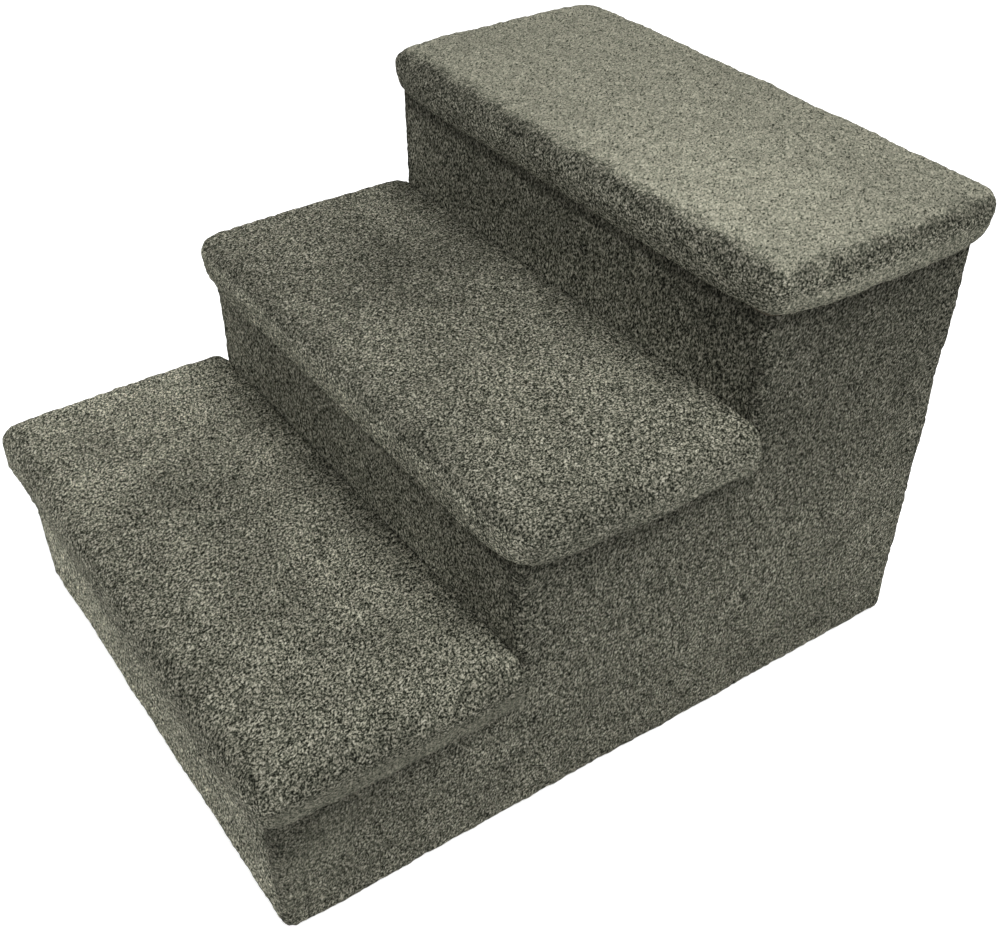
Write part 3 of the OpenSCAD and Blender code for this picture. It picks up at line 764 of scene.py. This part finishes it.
def tread_lay_and_painted_light(i):
    """How the pile of tread i lies, with painted light and shade: by the way that the surface faces, its tone goes
    from the top's to the nose's or the ends', with the rim's where the top starts to bend down in front and at the
    right end. These tones are painted light and shade for how each face meets the lamps, and partly the pile's
    lay. Along the lower edge of the ends a strip some 18 mm high is stretched smooth, and the upper tread's top
    is brushed flat."""
    low, high = TREADS[i]
    top, rim, nose, end, strip_gain, strip_flat = TREAD_TONES_AND_PAINTED_LIGHT[i]

    def lay_and_painted_light(points, normals):
        ragged = layered_noise(points, RAGGED_SEED, RAGGED)
        flat = smooth(*FLAT_Z, normals[:, 2] + 0.15 * ragged)
        inside = np.minimum(points[:, 1] - low[1], high[0] - points[:, 0] + RIM_END_SHIFT) - NOSE_R
        inside = smooth(*RIM_IN, inside + 5 * MM * ragged)
        across = np.hypot(normals[:, 0], normals[:, 1])
        front = np.clip(-normals[:, 1] / np.maximum(across, 1e-6), 0.0, 1.0) ** 2
        strip = 1.0 - smooth(*STRIP_TOP, points[:, 2] - low[2] + 2.5 * MM * ragged)
        strip = strip * (1.0 - flat) * (1.0 - front)
        # Painted light and shade: the tone by the way the face turns, darker on the rim
        face = (nose * front + end * (1.0 - front)) * (1.0 + (strip_gain - 1.0) * strip)
        tone = face + (top * inside + rim * (1.0 - inside) - face) * flat
        brushed = (flat * inside if i == LAST else 0.0) + strip_flat * strip
        return tone * patches(points, TREAD_MARKS[i]), brushed

    return lay_and_painted_light


def riser_lay_and_painted_shade(i):
    """Riser i's pile has a painted tone of its own for the light that the riser gets, painted shade under the nose,
    and a painted gradient of shade that leaves it lighter towards its foot. It is dark along the seams with the
    sides, and a little darker towards its right end."""
    foot = TREAD_FOOT[i - 1] + TREAD_T if i else 0.0

    def lay_and_painted_light(points, normals):
        share = (points[:, 2] - foot) / (TREAD_FOOT[i] - foot)
        # A painted tone for the riser, and a painted gradient of shade that darkens it towards the top
        tone = RISER_PAINTED_LIGHT[i] * (1.2 - 0.35 * share)
        # Painted shade under the nose
        tone = tone * painted_overhang_shade(points, TREAD_FOOT[i], PAINTED_SHADE_REACH, RISER_PAINTED_SHADE[i])
        ragged = 3 * MM * lattice_noise(points, 5 * MM, SEAM_SEED)
        seam = smooth(*SEAM_X, np.abs(points[:, 0]) - BOARD_X + ragged)
        tone = tone * (1.0 - SEAM_DEPTH * seam) * (1.0 - RISER_END_DEPTH * smooth(*RISER_END_X, points[:, 0]))
        return tone * patches(points, RISER_MARKS[i]), 0.0

    return lay_and_painted_light


def side_lay_and_painted_shade(points, normals):
    """A side's pile has a painted tone for the light that the side gets, painted shade under each tread's overhang,
    and is lighter low down. At the box's upright corners, where it meets the risers' and the back's, it stands up
    in curls with dark places between them. The carpet's edge shows as a groove near the front corner, drawn as a
    line of painted shade, and is rubbed smooth around it."""
    above = np.searchsorted(RISER_Y[1:], points[:, 1] + CARPET_T / 2)
    level = np.take(TREAD_FOOT, above)
    # Painted tone for the side, and painted shade under each overhang
    tone = SIDE_PAINTED_LIGHT * painted_overhang_shade(points, level, PAINTED_SHADE_REACH, SIDE_PAINTED_SHADE)
    tone = tone * (1.2 - 0.38 * smooth(*SIDE_FADE_Z, points[:, 2]))
    storey = np.searchsorted(TREAD_FOOT[:LAST], points[:, 2])
    edge = np.minimum(points[:, 1] - np.take(RISER_Y, storey), BACK_Y - points[:, 1])
    ragged = 2.5 * MM * lattice_noise(points, 6 * MM, CORNER_SEED)
    corner = 1.0 - smooth(*CORNER_IN, edge + ragged)
    curls = lattice_noise(points, CURL_CELL, CURL_SEED)
    tone = tone * (1.0 - corner * (0.1 - 0.5 * curls))
    # The groove's line of painted shade
    groove = np.exp(-((points[:, 1] - RISER_Y[0] - GROOVE_IN + ragged) / GROOVE_W) ** 2)
    groove = groove * (1.0 - smooth(*GROOVE_TOP_Z, points[:, 2])) * (points[:, 0] > 0)
    rubbed = RUBBED_FLAT * np.clip(1.0 - patches(points, [RUBBED_MARK]), 0.0, 1.0)
    return tone * (1.0 - GROOVE_PAINTED_SHADE * groove) * patches(points, SIDE_MARKS), rubbed


def back_painted_shade(points, normals):
    """The back's pile is even, with the sides' painted tone, and has painted shade under the upper tread."""
    # Painted tone, and painted shade under the upper tread
    return SIDE_PAINTED_LIGHT * painted_overhang_shade(points, TREAD_FOOT[LAST], BACK_PAINTED_SHADE_REACH, BACK_PAINTED_SHADE), 0.0


def lay_pile(mesh, points, tone, brushed, lean):
    """How the pile lies at each point: how light it looks, painted light and shade included, which way it leans
    and how far it is brushed flat.
    The lean L draws a pattern out along itself, because the material takes L (L . p) off each place p."""
    blotches = layered_noise(points, BLOTCH_SEED, BLOTCHES)
    # The tone holds painted light and shade as well as random blotches and patches
    keep(mesh, "tone", "FLOAT", tone * (1.0 + blotches * (1.0 - 0.5 * brushed)))
    way = np.array(lean[0], float)
    way *= math.sqrt(1.0 - 1.0 / lean[1]) / np.linalg.norm(way)
    keep(mesh, "lean", "FLOAT_VECTOR", np.broadcast_to(way, points.shape))
    keep(mesh, "brushed", "FLOAT", np.broadcast_to(brushed, len(points)))


def carpet(name, shell, node, lay_and_painted_light, lean, seed):
    mesh = shell.build(name)
    points, normals = raise_pile(mesh, seed)
    lay_pile(mesh, points, *lay_and_painted_light(points, normals), lean)
    piece = bpy.data.objects.new(name, mesh)
    bpy.context.collection.objects.link(piece)
    mesh.materials.append(PILE)
    mesh.materials.append(BACKING)
    outside = np.empty(len(mesh.polygons), bool)
    mesh.attributes["pile_face"].data.foreach_get("value", outside)
    mesh.polygons.foreach_set("material_index", np.where(outside, 0, 1).astype(np.int32))
    mesh.polygons.foreach_set("use_smooth", outside)
    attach(piece, "root")
    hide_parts(node)
    return piece


# How light the pile is painted, which is painted light and shade for how each face meets the lamps, and partly
# the pile's lay: a tread's top, rim, nose and ends, with the gain of the ends' smooth strip and how flat that is,
# then each riser, and the sides and back
TREAD_TONES_AND_PAINTED_LIGHT = (
    (1.18, 0.87, 1.27, 0.8, 0.85, 0.85),
    (1.06, 0.76, 1.6, 0.88, 0.96, 0.3),
    (1.12, 0.53, 0.9, 0.96, 1.06, 0.75),
)
RISER_PAINTED_LIGHT = (1.77, 1.0, 0.87)
SIDE_PAINTED_LIGHT = 0.755

# Where a tread's tones change: by how far up the surface faces, by how far inside the top's edge it lies, which
# counts from further out at the right end, and by the height over the lower edge
FLAT_Z = (0.2, 0.75)
RIM_IN = (-8 * MM, 12 * MM)
RIM_END_SHIFT = 5 * MM
STRIP_TOP = (14 * MM, 21 * MM)

# Where a riser is darker: at its seams, by the distance from the board's side, and towards its right end
SEAM_X = (-6 * MM, -1 * MM)
SEAM_DEPTH = 0.25
RISER_END_X = (0.12, 0.2)
RISER_END_DEPTH = 0.2

# Where a side's pile changes: over its height, in from its upright corners with their curls, and at the groove of
# the carpet's edge, a line of painted shade, by how far in that lies, its width, where it ends above and its depth
SIDE_FADE_Z = (0.1, 0.28)
CORNER_IN = (3 * MM, 12 * MM)
CURL_CELL = 3.2 * MM
GROOVE_IN = 17 * MM
GROOVE_W = 1.3 * MM
GROOVE_TOP_Z = (0.045, 0.06)
GROOVE_PAINTED_SHADE = 0.35

# The painted shade below an overhang: how far down it reaches and fades, and how deep it is
PAINTED_SHADE_REACH = 10 * MM
PAINTED_SHADE_FADE = 2 * MM
RISER_PAINTED_SHADE = (0.0, 0.4, 0.4)
SIDE_PAINTED_SHADE = 0.12
BACK_PAINTED_SHADE_REACH = 12 * MM
BACK_PAINTED_SHADE = 0.4

# Differences all over the pile, and the ragged borders of a tread's tones, as (gain, cell size) layers of noise.
# Then the cell size of the noise that pushes a patch's outline about, and how far it does so in mm
BLOTCHES = ((0.13, 38 * MM), (0.10, 15 * MM), (0.09, 7 * MM))
RAGGED = ((1.0, 9 * MM), (0.6, 4 * MM))
PATCH_CELL = 30 * MM
PATCH_PUSH = 14.0

# The patches seen in the photograph, as (x, y, z, radius, gain) in mm
TREAD_MARKS = (
    [(-215, -265, 150, 60, 0.35), (-205, -190, 150, 50, 0.35), (-190, -125, 150, 50, 0.35),
     (-95, -260, 150, 45, 0.25), (-40, -190, 150, 55, -0.2), (-90, -120, 150, 40, 0.15)],
    [(-200, -65, 260, 50, 0.2), (-90, 10, 260, 50, -0.28), (0, -75, 260, 40, 0.28), (110, 5, 260, 60, 0.22),
     (190, 55, 260, 50, 0.2), (-110, 55, 260, 40, -0.12)],
    [(120, 110, 368, 100, 0.2), (0, 290, 368, 70, -0.1), (200, 270, 368, 80, -0.12), (-215, 120, 368, 60, -0.1)],
)
RISER_MARKS = (
    [(-190, -277, 60, 80, 0.2)],
    [(-195, -95, 200, 45, 0.15), (90, -95, 165, 35, 0.15)],
    [(-195, 87, 290, 50, 0.3), (150, 87, 320, 40, -0.15)],
)
SIDE_MARKS = [(214, -262, 105, 45, -0.4), (214, -200, 110, 45, -0.2), (214, 160, 95, 60, 0.15),
              (214, 160, 320, 45, -0.15)]
RUBBED_MARK = (214, -255, 70, 45, -1.0)
RUBBED_FLAT = 0.6

# The way that the pile leans, with how far that draws the yarn out
TREAD_LEAN = (((-0.6, 0.8, 0.0), 1.5), ((-0.5, 0.87, 0.0), 1.4), ((-0.6, 0.8, 0.0), 1.9))
RISER_LEAN = ((0.3, 0.0, 1.0), 1.75)
SIDE_LEAN = ((0.0, 0.5, 1.0), 1.45)

# Seeds of the tufts' relief on each carpet, and of the noise in how the pile lies
TREAD_SEEDS = (11, 18, 25)
RISER_SEEDS = (41, 42, 43)
SIDE_SEEDS = {"left": 52, "right": 54}
BACK_SEED = 59
BLOTCH_SEED, PAINTED_SHADE_SEED, CORNER_SEED, CURL_SEED, SEAM_SEED, RAGGED_SEED, PATCH_SEED = 71, 74, 75, 76, 77, 81, 91

# The carpets. A sheet with a hem runs on under the board's edge and up to the hem's top, and the four corner
# squares that a wrapped tread has no use for are cut away
for i, step in enumerate(STEPS):
    carpet(step + "_tread_pile", tread_surface(i), step + "_tread_carpet",
           tread_lay_and_painted_light(i), TREAD_LEAN[i],
           TREAD_SEEDS[i])
    if i == 0:
        carpet("lower_riser_pile", end_surface(RISER_Y[0], 1, TREAD_FOOT[0]), "lower_riser_carpet",
               riser_lay_and_painted_shade(0), RISER_LEAN, RISER_SEEDS[0])
    else:
        carpet(step + "_riser_pile", riser_surface(i), step + "_riser_carpet",
               riser_lay_and_painted_shade(i), RISER_LEAN, RISER_SEEDS[i])

for side, word in ((-1, "left"), (1, "right")):
    carpet(word + "_side_pile", side_surface(side), word + "_side_carpet",
           side_lay_and_painted_shade, SIDE_LEAN,
           SIDE_SEEDS[word])
carpet("back_pile", end_surface(BACK_Y, -1, TREAD_FOOT[LAST]), "back_carpet",
       back_painted_shade, RISER_LEAN,
       BACK_SEED)

# Finishes of the CAD nodes that stay
PLYWOOD = timber("birch_plywood", pale="#D9BE93", dark="#B08B5C", grain=1.4 * MM, ring=24 * MM,
                 roughness=0.62, along=0)
PINE = timber("planed_pine", pale="#E2C793", dark="#B98A52", grain=1.1 * MM, ring=9 * MM,
              roughness=0.55, along=1)
PINE_UPRIGHT = timber("planed_pine_upright", pale="#E2C793", dark="#B98A52", grain=1.1 * MM, ring=9 * MM,
                      roughness=0.55, along=2)
FINISHES = {
    "board": PLYWOOD,
    "panel": PLYWOOD,
    "cleat": PINE,
    "batten": PINE_UPRIGHT,
    "screws": drawn_steel("zinc_plated_screw_steel", "#C9CCCB", roughness=0.34, mottle=0.8),
    "nails": drawn_steel("bright_nail_steel", "#A9ABAA", roughness=0.42, mottle=0.7),
    "staples": drawn_steel("galvanised_staple_wire", "#BFC2C2", roughness=0.38, mottle=0.75),
}
for name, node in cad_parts.items():
    material = FINISHES.get(name.split("_")[-1])
    if material:
        node.data.materials.clear()
        node.data.materials.append(material)

# Camera at the photograph's place, from the fit of the stairs' edges
FOCAL_PX = 1314.28
CENTRE_PX = (496.55, 552.91)
FRAME_PX = (1000, 927)
SENSOR_MM = 36
CAMERA_AT = (0.68894, -0.43612, 0.75129)
CAMERA_FORWARD = np.array([-0.62251, 0.42432, -0.6576])
ROLL = math.radians(-0.162)
camera = bpy.data.objects.new("camera", bpy.data.cameras.new("camera"))
bpy.context.collection.objects.link(camera)
bpy.context.scene.camera = camera
camera.data.sensor_width = SENSOR_MM
camera.data.lens = FOCAL_PX * SENSOR_MM / FRAME_PX[0]
camera.data.shift_x = (FRAME_PX[0] / 2 - CENTRE_PX[0]) / FRAME_PX[0]
camera.data.shift_y = (CENTRE_PX[1] - FRAME_PX[1] / 2) / FRAME_PX[0]
camera.data.clip_end = 50
camera.location = CAMERA_AT
right = np.cross(CAMERA_FORWARD, (0.0, 0.0, 1.0))
right /= np.linalg.norm(right)
upward = np.cross(right, CAMERA_FORWARD)
tilted_right = right * math.cos(ROLL) + upward * math.sin(ROLL)
tilted_up = upward * math.cos(ROLL) - right * math.sin(ROLL)
axes = np.stack([tilted_right, tilted_up, -CAMERA_FORWARD], axis=1)
camera.rotation_euler = Matrix(axes.tolist()).to_euler()

# White floor, and a white world that only the camera and reflections see at full strength
FLOOR_HALF = 6.0
FLOOR_GLOW = 0.7
WORLD_LEVEL = 0.45
floor_mesh = bpy.data.meshes.new("floor")
floor_mesh.from_pydata([(x * FLOOR_HALF, y * FLOOR_HALF, 0.0) for x, y in ((-1, -1), (1, -1), (1, 1), (-1, 1))],
                       [], [(0, 1, 2, 3)])
floor = bpy.data.objects.new("floor", floor_mesh)
bpy.context.collection.objects.link(floor)
matt_white, tree, shader = new_material("matt_white_floor")
shader.inputs["Base Color"].default_value = linear("#F2F2F2")
shader.inputs["Roughness"].default_value = 1.0
shader.inputs["Specular IOR Level"].default_value = 0.0
tree.links.new(maths(tree, "MULTIPLY", seen_directly(tree), FLOOR_GLOW), shader.inputs["Emission Strength"])
shader.inputs["Emission Color"].default_value = (1.0, 1.0, 1.0, 1.0)
floor_mesh.materials.append(matt_white)

world = bpy.data.worlds.new("white_room")
bpy.context.scene.world = world
world.use_nodes = True
tree = world.node_tree
tree.nodes.clear()
strength = maths(tree, "MULTIPLY_ADD", seen_directly(tree), 1.0 - WORLD_LEVEL, WORLD_LEVEL)
background = add(tree, "ShaderNodeBackground", Color=(1.0, 1.0, 1.0, 1.0), Strength=strength)
output = add(tree, "ShaderNodeOutputWorld")
tree.links.new(background.outputs[0], output.inputs["Surface"])


def softbox(name, centre, target, size, watts):
    """A square area lamp that faces a point."""
    lamp = bpy.data.lights.new(name, "AREA")
    lamp.size = size
    lamp.energy = watts
    box = bpy.data.objects.new(name, lamp)
    bpy.context.collection.objects.link(box)
    box.location = centre
    aim = np.array(target) - np.array(centre)
    box.rotation_euler = Vector(aim).to_track_quat("-Z", "Y").to_euler()


# The key hangs high over the right side and lights the treads, and the weaker fill stands in front
softbox("key", centre=(1.2, 0.1, 2.4), target=(0.0, 0.0, 0.2), size=0.9, watts=46.0)
softbox("fill", centre=(-0.6, -2.2, 1.2), target=(0.0, -0.1, 0.15), size=1.6, watts=11.0)

bpy.context.scene.view_settings.view_transform = "Standard"
